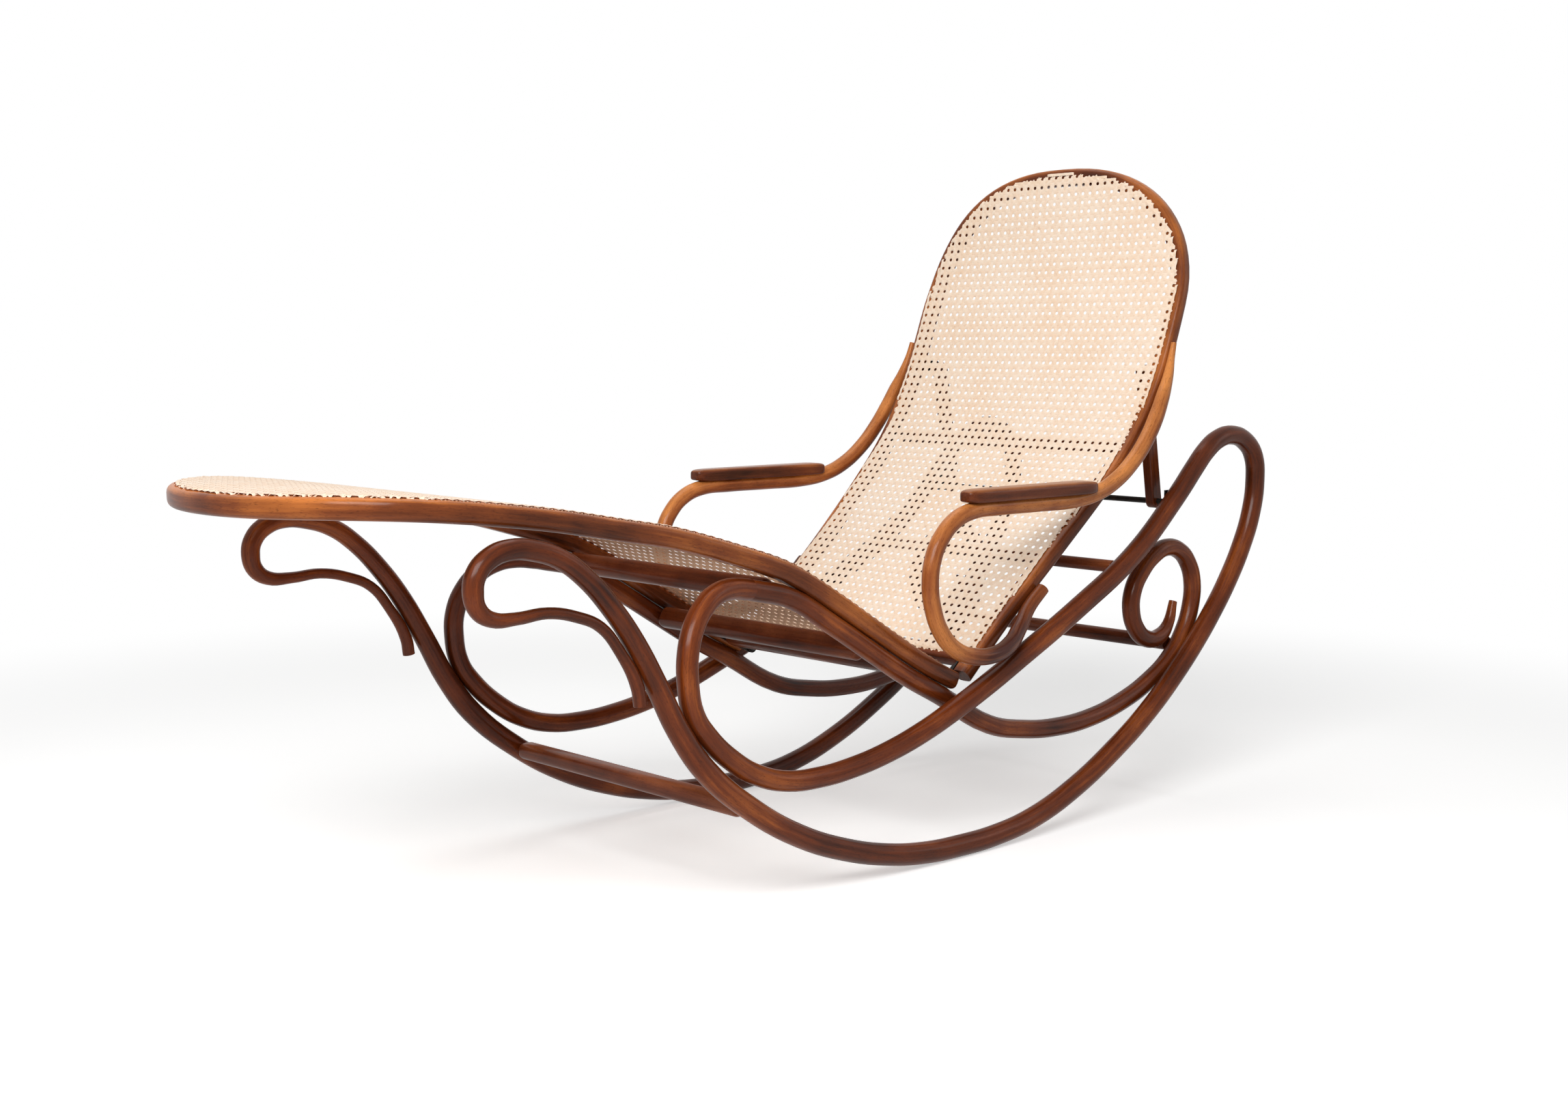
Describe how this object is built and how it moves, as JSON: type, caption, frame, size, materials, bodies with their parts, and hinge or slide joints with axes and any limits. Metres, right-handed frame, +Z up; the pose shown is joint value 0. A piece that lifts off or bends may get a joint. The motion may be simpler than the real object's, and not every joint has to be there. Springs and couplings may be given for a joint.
{
  "type": "bentwood rocking chaise",
  "caption": "Bentwood rocking chaise with scrolled runner frames, a caned curved seat, a hinged caned back with arms and a folding prop.",
  "frame": {"origin": "on the floor under the middle of the chair's length, on its centre line", "axes": "+X towards the head end, +Y across the chair to the sitter's right, +Z up"},
  "size_m": [1.74, 0.617, 1.0076],
  "materials": {
    "beech": "reddish-brown stain under satin lacquer",
    "dark_beech": "dark brown stain under satin lacquer",
    "cane": "pale woven cane, matt",
    "iron": "blackened iron"
  },
  "bodies": {
    "base": {"bearer_crossbar": "dark_beech", "curl_stretcher": "dark_beech", "diagonal_left": "beech", "diagonal_right": "beech", "diagonal_stretcher": "dark_beech", "front_loop_left": "beech", "front_loop_right": "beech", "front_scroll_left": "beech", "front_scroll_right": "beech", "front_stretcher": "dark_beech", "hinge_pin_left": "iron", "hinge_pin_right": "iron", "hinge_seat_strap_left": "iron", "hinge_seat_strap_right": "iron", "prop_ledge_left": "iron", "prop_ledge_right": "iron", "rear_curl_left": "beech", "rear_curl_right": "beech", "rear_loop_left": "beech", "rear_loop_right": "beech", "runner_left": "beech", "runner_right": "beech", "seat_bearer_left": "beech", "seat_bearer_right": "beech", "seat_cane": "cane", "seat_crossbar": "dark_beech", "seat_end_rail": "dark_beech", "seat_hoop": "beech"},
    "back": {"arm_left": "beech", "arm_pad_left": "beech", "arm_pad_right": "beech", "arm_right": "beech", "back_cane": "cane", "back_crossbar": "dark_beech", "back_end_rail": "dark_beech", "back_hoop": "beech", "hinge_back_strap_left": "iron", "hinge_back_strap_right": "iron", "prop_lug_left": "iron", "prop_lug_right": "iron", "prop_pin_left": "iron", "prop_pin_right": "iron"},
    "prop": {"prop_foot_rod": "iron", "prop_leg_left": "beech", "prop_leg_right": "beech"}
  },
  "joints": [
    {"name": "back_raise", "type": "hinge", "parent": "base", "child": "back", "pos_m": [0.16489, 0, 0.24138], "axis": [0, -1, 0], "range_deg": [0, 22]},
    {"name": "prop_swing", "type": "hinge", "parent": "back", "child": "prop", "pos_m": [0.60705, 0, 0.67865], "axis": [0, -1, 0], "range_deg": [0, 110]}
  ]
}
